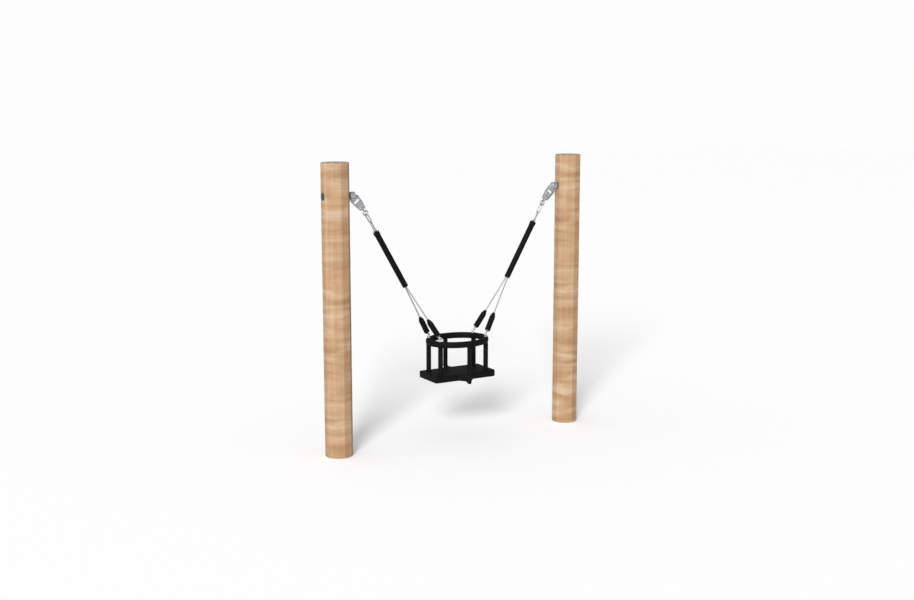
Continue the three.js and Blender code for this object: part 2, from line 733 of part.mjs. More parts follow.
function seatPlateGeometry() {
  const { bottom, top, edge } = PLATE;
  const slabOfRubber = new THREE.ExtrudeGeometry(plateOutline(edge), {
    depth: top - bottom - 2 * edge,
    bevelThickness: edge,
    bevelSize: edge,
    bevelSegments: 1,
    curveSegments: 4,
  });
  slabOfRubber.translate(0, 0, bottom + edge);
  const tipRadius = BEAK.tipRadius;
  const boss = new THREE.LatheGeometry([
    new THREE.Vector2(0, BEAK.bottom),
    new THREE.Vector2(tipRadius - 6, BEAK.bottom),
    new THREE.Vector2(tipRadius - 2, BEAK.bottom + 3),
    new THREE.Vector2(tipRadius - 0.5, BEAK.bottom + 8),
    new THREE.Vector2(tipRadius - 0.5, top - edge),
    new THREE.Vector2(0, top - edge),
  ], 20).rotateX(Math.PI / 2).translate(0, -RING.semiY, 0);
  const gussetOutline = new THREE.Shape([
    new THREE.Vector2(-PLATE.halfWidth + 30, bottom + 4),
    new THREE.Vector2(-RING.semiY, bottom + 4),
    new THREE.Vector2(-RING.semiY, BEAK.bottom + 4),
  ]);
  const gussetHalf = tipRadius - 4;
  const gusset = new THREE.ExtrudeGeometry(gussetOutline, {
    depth: 2 * gussetHalf,
    bevelEnabled: false,
  });
  gusset.applyMatrix4(frameAt(vec(-gussetHalf, 0, 0), vec(0, 1, 0), vec(0, 0, 1)));
  const { halfLength, halfWidth, thickness } = INSERT;
  const pocketTop = INSERT.bottom + 1;
  const insertRoom = levelBox(
    halfLength + GAP,
    halfWidth + GAP,
    INSERT.bottom - GAP,
    INSERT.bottom + thickness + GAP,
  );
  return shaped([slabOfRubber, boss, gusset], [
    insertRoom,
    ...cornerHoles(bottom - 1, top + 1, EYE_BOLT.shank + GAP),
    ...cornerHoles(bottom - 1, pocketTop, EYE_BOLT.nut.pocketRadius),
  ]);
}

function insertGeometry() {
  const { halfLength, halfWidth, bottom, thickness } = INSERT;
  const sheet = levelBox(halfLength, halfWidth, bottom, bottom + thickness);
  return shaped([sheet], cornerHoles(bottom - 1, bottom + thickness + 1, EYE_BOLT.shank + GAP));
}

// An upright rubber bar from the plate to the underside of the ring, with a wider foot.
function barGeometry(radius, isHollow) {
  const bottom = PLATE.top + GAP;
  const top = RING.bottom - GAP;
  const foot = BAR.footRadius * (radius / BAR.cornerRadius);
  const bar = new THREE.LatheGeometry([
    new THREE.Vector2(0, bottom),
    new THREE.Vector2(foot, bottom),
    new THREE.Vector2(radius, bottom + BAR.footHeight),
    new THREE.Vector2(radius, top),
    new THREE.Vector2(0, top),
  ], 16).rotateX(Math.PI / 2);
  if (!isHollow) return bar;
  const hole = rod(vec(0, 0, bottom - 1), vec(0, 0, top + 1), EYE_BOLT.shank + GAP, 12);
  return shaped([bar], [hole]);
}

function addSeat() {
  addMesh(swing, 'seat_ring', seatRingGeometry(), rubber);
  for (const [corner, sign, frontBack] of CORNERS) {
    const bar = addMesh(swing, `${corner}_bar`, barGeometry(BAR.cornerRadius, true), rubber);
    bar.position.set(sign * CORNER.x, frontBack * CORNER.y, 0);
    addCorner(corner, sign, frontBack);
  }
  for (const [name, frontBack] of [['crotch_bar', -1], ['back_bar', 1]]) {
    const bar = addMesh(swing, name, barGeometry(BAR.middleRadius, false), rubber);
    bar.position.y = frontBack * RING.semiY;
  }
  addMesh(swing, 'seat_plate', seatPlateGeometry(), rubber);
  addMesh(swing, 'seat_insert', insertGeometry(), galvanised);
}

for (const [side, sign] of SIDES) {
  addPost(side, sign);
  addHanger(side, sign);
  addChain(side, sign);
  addMesh(swing, `${side}_rope_sling`, slingGeometry(sign), wireRope);
}
addSeat();

export default swing;
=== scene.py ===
import json
import math

import bpy
from mathutils import Matrix, Vector, noise


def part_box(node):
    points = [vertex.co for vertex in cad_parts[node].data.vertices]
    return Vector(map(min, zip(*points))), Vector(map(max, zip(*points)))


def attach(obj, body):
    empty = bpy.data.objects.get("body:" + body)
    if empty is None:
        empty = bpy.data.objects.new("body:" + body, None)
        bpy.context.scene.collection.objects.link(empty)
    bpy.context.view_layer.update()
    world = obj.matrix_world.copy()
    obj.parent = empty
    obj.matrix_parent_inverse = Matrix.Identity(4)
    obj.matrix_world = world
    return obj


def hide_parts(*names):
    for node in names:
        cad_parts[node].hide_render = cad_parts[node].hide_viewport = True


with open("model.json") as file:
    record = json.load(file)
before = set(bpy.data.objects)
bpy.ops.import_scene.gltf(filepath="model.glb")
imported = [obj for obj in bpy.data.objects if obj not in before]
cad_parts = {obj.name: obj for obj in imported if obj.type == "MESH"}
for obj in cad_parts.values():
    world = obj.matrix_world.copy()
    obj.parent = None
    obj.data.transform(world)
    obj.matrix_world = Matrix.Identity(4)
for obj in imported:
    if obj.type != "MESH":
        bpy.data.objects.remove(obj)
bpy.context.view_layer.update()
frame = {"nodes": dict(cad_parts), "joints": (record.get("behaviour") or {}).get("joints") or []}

# Sizes, in metres. They are the CAD model's own, and places come from the frame's joints and boxes.

MM = 0.001
Y_AXIS, Z_AXIS = Vector((0, 1, 0)), Vector((0, 0, 1))
SIDES = (("left", -1), ("right", 1))
CORNERS = (
    ("front_left", -1, -1),
    ("front_right", 1, -1),
    ("back_left", -1, 1),
    ("back_right", 1, 1),
)

POST_FLATS = 10
POST_RADIUS = 90 * MM
POST_CHAMFER = 5 * MM
POST_ARRIS, POST_FOOT_EDGE = 6 * MM, 4 * MM
PLANING_SHARE = 0.012  # how far the planer cuts in at most, as a share of the radius
AXLE_BORE_RADIUS = 9 * MM
GRAIN_START = {"left": 0.0, "right": 0.73}  # height of each post's own origin, so that their grain differs
COUNTERBORE_RADIUS, COUNTERBORE_DEPTH = 25.3 * MM, 24 * MM
CAP_RADIUS, CAP_THICKNESS, CAP_DOME = 24.7 * MM, 8 * MM, 3 * MM
SPACER_RADIUS, SPACER_THICKNESS = 20 * MM, 9 * MM
SPACER_BORE = 8.4 * MM
YOKE_END = 118 * MM
YOKE_SHOULDER = 28.5 * MM
YOKE_PIN_AT, YOKE_PIN_RADIUS, YOKE_PIN_HEAD = 30 * MM, 5 * MM, 8 * MM
STEM_START, STEM_RADIUS, STEM_COLLAR = 74 * MM, 5 * MM, 9 * MM
SWIVEL_EYE_RADIUS, SWIVEL_WIRE = 9 * MM, 3.8 * MM
TOP_LINK_LENGTH, TOP_LINK_WIDTH, TOP_LINK_WIRE = 40 * MM, 40 * MM, 4.5 * MM
CHAIN_WIDTH, CHAIN_WIRE, CHAIN_LINKS = 30 * MM, 4 * MM, 9
TOP_LINK_TURN, CHAIN_TURN = -5, 70  # degrees
SLEEVE_START, SLEEVE_ABOVE_BEND = 128 * MM, 5 * MM
SLEEVE_BORE, SLEEVE_RADIUS = 16 * MM, 18.7 * MM
COLLAR_RADIUS, COLLAR_LENGTH = 20.4 * MM, 25 * MM
ROPE_RADIUS, ROPE_BEND_RADIUS = 5 * MM, 9.8 * MM
FERRULE_RADIUS, FERRULE_LENGTH = 8 * MM, 50 * MM
END_EYE_RADIUS, END_EYE_WIRE = 9 * MM, 3.5 * MM
BOOT_START, BOOT_LENGTH, BOOT_CONE = 30 * MM, 130 * MM, 34 * MM
BOOT_RADIUS, BOOT_BORE = 18.5 * MM, 15 * MM
CORNER_LINK_LENGTH, CORNER_LINK_WIDTH, CORNER_LINK_WIRE = 30 * MM, 24 * MM, 3 * MM
EYE_RADIUS, EYE_WIRE, EYE_RISE = 10.5 * MM, 3.5 * MM, 15 * MM
EYE_SHANK, EYE_COLLAR = 5 * MM, 12 * MM
CORNER_X, CORNER_Y = 173 * MM, 80 * MM
RING_SEMI_X, RING_SEMI_Y, RING_HALF_WIDTH = 200 * MM, 160 * MM, 18 * MM
BAR_RADIUS, MIDDLE_BAR_RADIUS, BAR_FOOT, FOOT_HEIGHT = 16 * MM, 15 * MM, 18 / 16, 12 * MM
GAP = 0.3 * MM
ON_AXIS = 0.001 * MM  # radius of a turned shape where it closes on its axis

CASTING_VOXEL, PLATE_VOXEL = 0.9 * MM, 2.2 * MM
WELD_REACH, WELD_SWELL = 2.4 * MM, 0.07
ROPE_LAY, ROPE_STEP = 52 * MM, 2.6 * MM

joint_at = {joint["name"]: Vector(joint["pos_m"]) for joint in frame["joints"]}
AXLE_HEIGHT = joint_at["right_bearing_swing"].z
HEAD_X = joint_at["right_bearing_swing"].x
CHAIN_TOP = joint_at["right_chain_swing"]
ROPE_BEND = Vector((-joint_at["seat_pitch"].x, 0, joint_at["seat_pitch"].z))
RING_LOW, RING_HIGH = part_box("seat_ring")[0][2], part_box("seat_ring")[1][2]
PLATE_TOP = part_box("seat_plate")[1][2]
POST_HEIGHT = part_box("left_post")[1][2]
POST_X = (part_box("right_post")[0][0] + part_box("right_post")[1][0]) / 2
FLAT_RADIUS = POST_RADIUS * math.cos(math.pi / POST_FLATS)


# Mesh helpers. A shape is a pair: a list of points and a list of faces.

def basis(origin, direction, sideways):
    """The frame whose X axis is direction and whose Y axis is as near sideways as can be."""
    x = direction.normalized()
    z = x.cross(sideways).normalized()
    y = z.cross(x)
    return Matrix.Translation(origin) @ Matrix((x, y, z)).transposed().to_4x4()


def moved(shape, matrix):
    return [matrix @ Vector(point) for point in shape[0]], shape[1]


def joined(*shapes):
    points, faces = [], []
    for shape_points, shape_faces in shapes:
        start = len(points)
        points += shape_points
        faces += [tuple(start + i for i in face) for face in shape_faces]
    return points, faces


def skin(rings, closed_along=False, capped=True):
    """Faces over rings of equally many points, each ring closed on itself."""
    sides = len(rings[0])
    points = [point for ring in rings for point in ring]
    faces = []
    spans = len(rings) if closed_along else len(rings) - 1
    for i in range(spans):
        a, b = i * sides, ((i + 1) % len(rings)) * sides
        for j in range(sides):
            k = (j + 1) % sides
            faces.append((a + j, a + k, b + k, b + j))
    if capped and not closed_along:
        faces.append(tuple(reversed(range(sides))))
        faces.append(tuple(range((len(rings) - 1) * sides, len(rings) * sides)))
    return points, faces


def lathed(profile, sides=48, closed=False):
    """A shape turned about the X axis from (distance along X, radius) pairs."""
    rings = []
    for x, radius in profile:
        turn = [2 * math.pi * j / sides for j in range(sides)]
        rings.append([Vector((x, radius * math.cos(a), radius * math.sin(a))) for a in turn])
    return skin(rings, closed_along=closed)


def swept(path, radius, sides=12, closed=False, twist=0.0):
    """A round tube along a list of points. radius is a number or a function of the point's number."""
    count = len(path)
    normal = None
    rings = []
    for i in range(count):
        before = path[(i - 1) % count] if closed or i else path[0]
        after = path[(i + 1) % count] if closed or i < count - 1 else path[-1]
        tangent = (after - before).normalized()
        if normal is None:
            normal = tangent.orthogonal().normalized()
        normal = (normal - tangent * normal.dot(tangent)).normalized()
        across = tangent.cross(normal)
        size = radius(i) if callable(radius) else radius
        ring = []
        for j in range(sides):
            a = 2 * math.pi * j / sides + twist * i
            ring.append(path[i] + size * (normal * math.cos(a) + across * math.sin(a)))
        rings.append(ring)
    return skin(rings, closed_along=closed)


def wire_ring(radius, wire, steps=48, sides=14):
    """A round wire ring about the origin, facing along Z."""
    turn = [2 * math.pi * i / steps for i in range(steps)]
    return swept([Vector((radius * math.cos(a), radius * math.sin(a), 0)) for a in turn], wire, sides, True)


def wire_link(length, width, wire, steps=20, sides=14, weld=True):
    """A long link facing along Z, its length along X, with a swollen weld half way down one side."""
    bend = width / 2 - wire
    straight = (length - width) / 2
    path = []
    for end in (1, -1):
        for i in range(steps + 1):
            a = math.pi * (i / steps - 0.5)
            path.append(Vector((end * (straight + bend * math.cos(a)), end * bend * math.sin(a), 0)))
        for i in range(1, 6):
            x = end * straight * (1 - i / 3)
            path.append(Vector((x, end * bend, 0)))

    def size(i):
        point = path[i]
        swell = math.exp(-(point.x / WELD_REACH) ** 2) if weld and point.y > 0 else 0
        return wire * (1 + WELD_SWELL * swell)

    return swept(path, size, sides, True)


def rounded(profile, size, steps=4):
    """The profile with each inner corner of a turned outline softened by a short curve."""
    soft = [profile[0]]
    for before, corner, after in zip(profile, profile[1:], profile[2:]):
        corner_point = Vector(corner)
        to_before = Vector(before) - corner_point
        to_after = Vector(after) - corner_point
        cut = min(size, to_before.length * 0.45, to_after.length * 0.45)
        start = corner_point + to_before.normalized() * cut
        end = corner_point + to_after.normalized() * cut
        for i in range(steps + 1):
            t = i / steps
            point = start * (1 - t) ** 2 + corner_point * (2 * t * (1 - t)) + end * t ** 2
            soft.append(tuple(point))
    soft.append(profile[-1])
    return soft


def add_object(name, shape):
    mesh = bpy.data.meshes.new(name)
    mesh.from_pydata([tuple(point) for point in shape[0]], [], shape[1])
    mesh.update()
    thing = bpy.data.objects.new(name, mesh)
    bpy.context.collection.objects.link(thing)
    return thing


def settle_modifiers(thing):
    """Puts the result of the object's modifiers into its mesh."""
    graph = bpy.context.evaluated_depsgraph_get()
    result = bpy.data.meshes.new_from_object(thing.evaluated_get(graph))
    thing.modifiers.clear()
    thing.data = result


def finish_piece(thing, material, body, nodes, sharp_degrees=40):
    mesh = thing.data
    mesh.shade_smooth()
    mesh.set_sharp_from_angle(angle=math.radians(sharp_degrees))
    mesh.materials.clear()
    mesh.materials.append(material)
    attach(thing, body)
    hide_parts(*nodes)
    return thing


def piece(name, shape, finish, body, *nodes, sharp_degrees=40):
    """A finished piece that stands for the CAD nodes named."""
    slot, material = finish
    return finish_piece(add_object(name, shape), material, body, nodes, sharp_degrees)


def softened(node, finish, body, voxel, passes):
    """A cast or moulded piece: the CAD node's shape, remeshed finely and smoothed at its edges."""
    slot, material = finish
    thing = bpy.data.objects.new(f"{node}_cast", frame["nodes"][node].data.copy())
    bpy.context.collection.objects.link(thing)
    remesh = thing.modifiers.new("remesh", "REMESH")
    remesh.mode = "VOXEL"
    remesh.voxel_size = voxel
    smooth = thing.modifiers.new("smooth", "SMOOTH")
    smooth.iterations = passes
    smooth.factor = 0.5
    settle_modifiers(thing)
    return finish_piece(thing, material, body, [node], sharp_degrees=60)


# Materials. Patterns follow each piece's own coordinates, so they stay put when it moves.

def new_material(name):
    material = bpy.data.materials.new(name)
    material.use_nodes = True
    nodes = material.node_tree.nodes
    shader = nodes["Principled BSDF"]
    place = nodes.new("ShaderNodeTexCoord").outputs["Object"]
    return material, shader, place


def link(material, start, end):
    material.node_tree.links.new(start, end)


def add_mapping(material, place, scale):
    mapping = material.node_tree.nodes.new("ShaderNodeMapping")
    mapping.inputs["Scale"].default_value = scale
    link(material, place, mapping.inputs["Vector"])
    return mapping.outputs["Vector"]


def add_noise(material, place, scale, detail=4.0, roughness=0.55, distortion=0.0):
    node = material.node_tree.nodes.new("ShaderNodeTexNoise")
    node.inputs["Scale"].default_value = scale
    node.inputs["Detail"].default_value = detail
    node.inputs["Roughness"].default_value = roughness
    node.inputs["Distortion"].default_value = distortion
    link(material, place, node.inputs["Vector"])
    return node.outputs["Fac"]


def add_ramp(material, value, stops):
    """A colour ramp; each stop is (position, colour)."""
    ramp = material.node_tree.nodes.new("ShaderNodeValToRGB").color_ramp
    node = material.node_tree.nodes[-1]
    while len(ramp.elements) < len(stops):
        ramp.elements.new(0.5)
    for element, (position, colour) in zip(ramp.elements, stops):
        element.position = position
        element.color = (*colour, 1)
    link(material, value, node.inputs["Fac"])
    return node.outputs["Color"]


def add_mix(material, factor, first, second, blend="MIX"):
    node = material.node_tree.nodes.new("ShaderNodeMix")
    node.data_type = "RGBA"
    node.blend_type = blend
    first_socket, second_socket = node.inputs[6], node.inputs[7]
    pairs = ((node.inputs["Factor"], factor), (first_socket, first), (second_socket, second))
    for socket, value in pairs:
        if hasattr(value, "links"):
            link(material, value, socket)
        elif isinstance(value, tuple):
            socket.default_value = (*value, 1)
        else:
            socket.default_value = value
    return node.outputs[2]


def add_range(material, value, low, high, from_low=0.0, from_high=1.0):
    node = material.node_tree.nodes.new("ShaderNodeMapRange")
    node.inputs["From Min"].default_value = from_low
    node.inputs["From Max"].default_value = from_high
    node.inputs["To Min"].default_value = low
    node.inputs["To Max"].default_value = high
    link(material, value, node.inputs["Value"])
    return node.outputs["Result"]


def add_bump(material, shader, layers):
    """Stacks bumps; each layer is (height, depth in metres)."""
    normal = None
    for height, depth in layers:
        bump = material.node_tree.nodes.new("ShaderNodeBump")
        bump.inputs["Strength"].default_value = 1.0
        bump.inputs["Distance"].default_value = depth
        link(material, height, bump.inputs["Height"])
        if normal is not None:
            link(material, normal, bump.inputs["Normal"])
        normal = bump.outputs["Normal"]
    link(material, normal, shader.inputs["Normal"])


def timber_side():
    """Planed timber: fibres up the post, crossed by the planer's faint ripples and warm patches."""
    material, shader, place = new_material("timber_side")
    fibres = add_noise(material, add_mapping(material, place, (260, 260, 7)), 1.0, 5, 0.6, 0.4)
    streaks = add_noise(material, add_mapping(material, place, (55, 55, 1.6)), 1.0, 3, 0.5, 0.3)
    ripples = add_noise(material, add_mapping(material, place, (7, 7, 95)), 1.0, 4, 0.6, 0.6)
    bands = add_noise(material, add_mapping(material, place, (3, 3, 17)), 1.0, 3, 0.5, 0.5)
    patches = add_noise(material, add_mapping(material, place, (6, 6, 4.2)), 1.0, 2, 0.5)
    base = add_ramp(material, bands, [
        (0.34, (0.285, 0.16, 0.08)),
        (0.45, (0.35, 0.215, 0.115)),
        (0.56, (0.40, 0.262, 0.15)),
        (0.68, (0.46, 0.342, 0.24)),
    ])
    warm = add_range(material, patches, 0.0, 0.55, 0.45, 0.7)
    base = add_mix(material, warm, base, (0.36, 0.195, 0.098))
    ripple_share = add_range(material, ripples, 0.0, 0.38, 0.48, 0.76)
    base = add_mix(material, ripple_share, base, (0.25, 0.145, 0.072))
    streak_share = add_range(material, streaks, 0.0, 0.30, 0.5, 0.8)
    base = add_mix(material, streak_share, base, (0.54, 0.43, 0.30))
    fibre_share = add_range(material, fibres, 0.0, 0.35, 0.5, 0.85)
    base = add_mix(material, fibre_share, base, (0.24, 0.14, 0.075))
    link(material, base, shader.inputs["Base Color"])
    link(material, add_range(material, fibres, 0.6, 0.85), shader.inputs["Roughness"])
    shader.inputs["Specular IOR Level"].default_value = 0.3
    add_bump(material, shader, [(ripples, 0.5 * MM), (fibres, 0.25 * MM)])
    return material


def timber_end():
    """Sawn end grain: growth rings round the heart, crossed by saw marks."""
    material, shader, place = new_material("timber_end")
    rings = material.node_tree.nodes.new("ShaderNodeTexWave")
    rings.wave_type = "RINGS"
    rings.rings_direction = "Z"
    rings.inputs["Scale"].default_value = 34
    rings.inputs["Distortion"].default_value = 2.2
    rings.inputs["Detail"].default_value = 3
    rings.inputs["Detail Scale"].default_value = 1.2
    link(material, place, rings.inputs["Vector"])
    saw = add_noise(material, add_mapping(material, place, (9, 130, 9)), 1.0, 3)
    colour = add_ramp(material, rings.outputs["Fac"], [
        (0.0, (0.22, 0.155, 0.11)),
        (0.5, (0.36, 0.27, 0.19)),
        (1.0, (0.44, 0.34, 0.25)),
    ])
    colour = add_mix(material, add_range(material, saw, 0.0, 0.4, 0.4, 0.8), colour, (0.30, 0.24, 0.19))
    link(material, colour, shader.inputs["Base Color"])
    shader.inputs["Roughness"].default_value = 0.9
    add_bump(material, shader, [(rings.outputs["Fac"], 0.3 * MM), (saw, 0.3 * MM)])
    return material


def rubber():
    """Moulded black rubber: fine grain, a dusty bloom in patches, and slightly worn high spots."""
    material, shader, place = new_material("rubber")
    grain = add_noise(material, place, 1500, 3, 0.6)
    bloom = add_noise(material, place, 130, 5, 0.65)
    scuffs = add_noise(material, add_mapping(material, place, (60, 60, 260)), 1.0, 4, 0.65)
    base = add_ramp(material, bloom, [(0.35, (0.0015, 0.0015, 0.0017)), (0.65, (0.0075, 0.0075, 0.008))])
    base = add_mix(material, add_range(material, scuffs, 0.0, 0.4, 0.6, 0.85), base, (0.014, 0.014, 0.0145))
    link(material, base, shader.inputs["Base Color"])
    link(material, add_range(material, bloom, 0.5, 0.75), shader.inputs["Roughness"])
    shader.inputs["Specular IOR Level"].default_value = 0.06
    add_bump(material, shader, [(bloom, 0.25 * MM), (grain, 0.06 * MM)])
    return material


def black_plastic():
    material, shader, place = new_material("black_plastic")
    grain = add_noise(material, place, 2600, 2, 0.5)
    wear = add_noise(material, place, 90, 4, 0.6)
    base = add_ramp(material, wear, [(0.35, (0.006, 0.006, 0.0065)), (0.75, (0.016, 0.016, 0.017))])
    link(material, base, shader.inputs["Base Color"])
    link(material, add_range(material, wear, 0.32, 0.5), shader.inputs["Roughness"])
    add_bump(material, shader, [(grain, 0.03 * MM)])
    return material


def zinc_steel(name, dark, light, rough_low, rough_high, spangle):
    """Zinc-coated or satin steel: crystal patches, fine scratches and duller hollows."""
    material, shader, place = new_material(name)
    cells = material.node_tree.nodes.new("ShaderNodeTexVoronoi")
    cells.inputs["Scale"].default_value = spangle
    link(material, place, cells.inputs["Vector"])
    bleached = material.node_tree.nodes.new("ShaderNodeRGBToBW")
    link(material, cells.outputs["Color"], bleached.inputs["Color"])
    haze = add_noise(material, place, 120, 5, 0.65)
    scratches = add_noise(material, add_mapping(material, place, (900, 900, 60)), 1.0, 3, 0.6)
    spangles = add_ramp(material, bleached.outputs["Val"], [(0.2, dark), (0.9, light)])
    dullness = add_ramp(material, haze, [(0.3, dark), (0.7, light)])
    mottle = add_mix(material, 0.5, spangles, dullness)
    link(material, mottle, shader.inputs["Base Color"])
    shader.inputs["Metallic"].default_value = 0.85
    link(material, add_range(material, haze, rough_low, rough_high), shader.inputs["Roughness"])
    add_bump(material, shader, [(haze, 0.12 * MM), (scratches, 0.04 * MM)])
    return material


def bronze():
    material, shader, place = new_material("bronze")
    turned = add_noise(material, add_mapping(material, place, (1200, 30, 30)), 1.0, 3)
    colour = add_ramp(material, turned, [(0.3, (0.42, 0.27, 0.11)), (0.7, (0.66, 0.46, 0.22))])
    link(material, colour, shader.inputs["Base Color"])
    shader.inputs["Metallic"].default_value = 1.0
    link(material, add_range(material, turned, 0.25, 0.45), shader.inputs["Roughness"])
    add_bump(material, shader, [(turned, 0.03 * MM)])
    return material


TIMBER = ("timber", timber_side())
TIMBER_END = timber_end()
RUBBER = ("rubber", rubber())
PLASTIC = ("black_plastic", black_plastic())
ZINC = (
    "galvanised_steel",
    zinc_steel("galvanised", (0.30, 0.30, 0.33), (0.52, 0.52, 0.56), 0.36, 0.6, spangle=260),
)
# The spacer flanges' steel is galvanised steel made darker: painted shade standing in for the shadow that
# falls on the flange beside the post.
PAINTED_SHADE_ZINC = (
    "galvanised_steel",
    zinc_steel("painted_shade_flange", (0.10, 0.09, 0.09), (0.2, 0.18, 0.17), 0.45, 0.65, spangle=260),
)
STAINLESS = (
    "stainless_steel",
    zinc_steel("stainless", (0.52, 0.52, 0.54), (0.72, 0.72, 0.74), 0.2, 0.38, spangle=900),
)
ROPE = (
    "wire_rope",
    zinc_steel("wire_rope", (0.36, 0.36, 0.375), (0.54, 0.54, 0.56), 0.4, 0.6, spangle=1200),
)
BRONZE = ("bronze", bronze())


# Posts

def post_outline(inset):
    """One level of the post: ten flats, each arris softened by a small arc."""
    radius = POST_RADIUS - inset
    flat = radius * math.cos(math.pi / POST_FLATS)
    half_corner = math.pi / POST_FLATS
    arc_centre = radius - POST_ARRIS / math.cos(half_corner)
    points = []
    for k in range(POST_FLATS):
        corner = 2 * math.pi * (k + 0.5) / POST_FLATS
        centre = Vector((math.cos(corner), math.sin(corner), 0)) * arc_centre
        for i in range(5):
            a = corner + half_corner * (i / 2 - 1)
            points.append(centre + Vector((math.cos(a), math.sin(a), 0)) * POST_ARRIS)
        following = 2 * math.pi * (k + 1) / POST_FLATS
        along_flat = Vector((-math.sin(following), math.cos(following), 0))
        for share in (-0.35, 0.0, 0.35):
            middle = Vector((math.cos(following), math.sin(following), 0)) * flat
            points.append(middle + along_flat * share * flat * 0.6)
    return points


def make_post(side, sign):
    """Planing leaves each flat very slightly uneven, always inside the post's true size."""
    levels = [(0, POST_FOOT_EDGE), (1.2 * MM, 1.6 * MM), (POST_FOOT_EDGE, 0)]
    steps = 90
    body_top = POST_HEIGHT - POST_CHAMFER
    body = body_top - POST_FOOT_EDGE
    levels += [(POST_FOOT_EDGE + body * i / steps, 0) for i in range(1, steps + 1)]
    levels += [(POST_HEIGHT - 1.5 * MM, POST_CHAMFER - 2 * MM), (POST_HEIGHT, POST_CHAMFER)]
    levels += [(POST_HEIGHT, POST_RADIUS * share) for share in (0.25, 0.5, 0.75)]
    rings = []
    for height, inset in levels:
        ring = []
        for point in post_outline(inset):
            wander = noise.noise(Vector((point.x * 14, point.y * 14 + 7 * sign, height * 9)))
            planed = 1 - (0.5 + 0.5 * wander) * PLANING_SHARE if height < POST_HEIGHT else 1
            ring.append(Vector((point.x * planed, point.y * planed, height - GRAIN_START[side])))
        rings.append(ring)
    post = add_object(f"{side}_timber_post", skin(rings))
    post.location.x = sign * POST_X
    post.location.z = GRAIN_START[side]
    outer = sign * (POST_X + FLAT_RADIUS)
    bores = (
        (COUNTERBORE_RADIUS, outer - sign * COUNTERBORE_DEPTH, outer + sign * 5 * MM),
        (AXLE_BORE_RADIUS, sign * (POST_X - POST_RADIUS - 5 * MM), outer),
    )
    for radius, start, end in bores:
        bore = lathed([(start, radius), (end, radius)], 64)
        cutter = add_object("cutter", moved(bore, Matrix.Translation((0, 0, AXLE_HEIGHT))))
        if start > end:
            cutter.data.flip_normals()
        cut = post.modifiers.new("bore", "BOOLEAN")
        cut.operation = "DIFFERENCE"
        cut.solver = "EXACT"
        cut.object = cutter
        settle_modifiers(post)
        bpy.data.objects.remove(cutter)
    finish_piece(post, TIMBER[1], "posts", [f"{side}_post"], sharp_degrees=30)
    post.data.materials.append(TIMBER_END)
    for face in post.data.polygons:
        if abs(face.normal.z) > 0.3:
            face.material_index = 1


def make_post_fittings(side, sign):
    axle = Vector((sign * POST_X, 0, AXLE_HEIGHT))
    inwards = basis(axle, Vector((-sign, 0, 0)), Vector((0, -sign, 0)))
    face = -FLAT_RADIUS
    rim = CAP_RADIUS
    cap = [(face - CAP_DOME, ON_AXIS)]
    groove_step, groove_depth = 6, 0.3 * MM
    for i in range(1, 9):
        a = math.pi / 2 * i / 8
        sunk = groove_depth if i == groove_step else 0
        cap.append((face - CAP_DOME * math.cos(a) + sunk, rim * math.sin(a)))
    inner_face = face + CAP_THICKNESS - CAP_DOME
    cap += [(inner_face, rim), (inner_face, ON_AXIS)]
    piece(f"{side}_domed_cap", moved(lathed(cap, 64), inwards), PLASTIC, "posts", f"{side}_bolt_cap")
    near, far = FLAT_RADIUS + GAP, FLAT_RADIUS + GAP + SPACER_THICKNESS
    ring = rounded([
        (near, SPACER_BORE), (near, SPACER_RADIUS), (far - 3 * MM, SPACER_RADIUS),
        (far, SPACER_RADIUS - 4 * MM), (far, SPACER_BORE), (near, SPACER_BORE),
    ], 1 * MM)
    flange = moved(lathed(ring[:-1], 56, True), inwards)
    # The flange gets the darkened galvanised steel, which is painted shade and not the flange's own colour.
    piece(f"{side}_turned_flange", flange, PAINTED_SHADE_ZINC, "posts", f"{side}_spacer_flange")


# Hangers, chains and sleeves

def chain_direction(sign):
    return Vector((sign * (ROPE_BEND.x - CHAIN_TOP.x), 0, ROPE_BEND.z - CHAIN_TOP.z)).normalized()


def hanger_frame(sign):
    """The hanger's frame, with X down its slope from the axle, and its length to the swivel eye."""
    between_wires = TOP_LINK_LENGTH - 2 * TOP_LINK_WIRE
    rise = between_wires + SWIVEL_EYE_RADIUS - (SWIVEL_WIRE + TOP_LINK_WIRE + GAP)
    axle = Vector((sign * HEAD_X, 0, AXLE_HEIGHT))
    eye = Vector((sign * CHAIN_TOP.x, 0, CHAIN_TOP.z)) - chain_direction(sign) * rise
    return basis(axle, eye - axle, Y_AXIS), (eye - axle).length


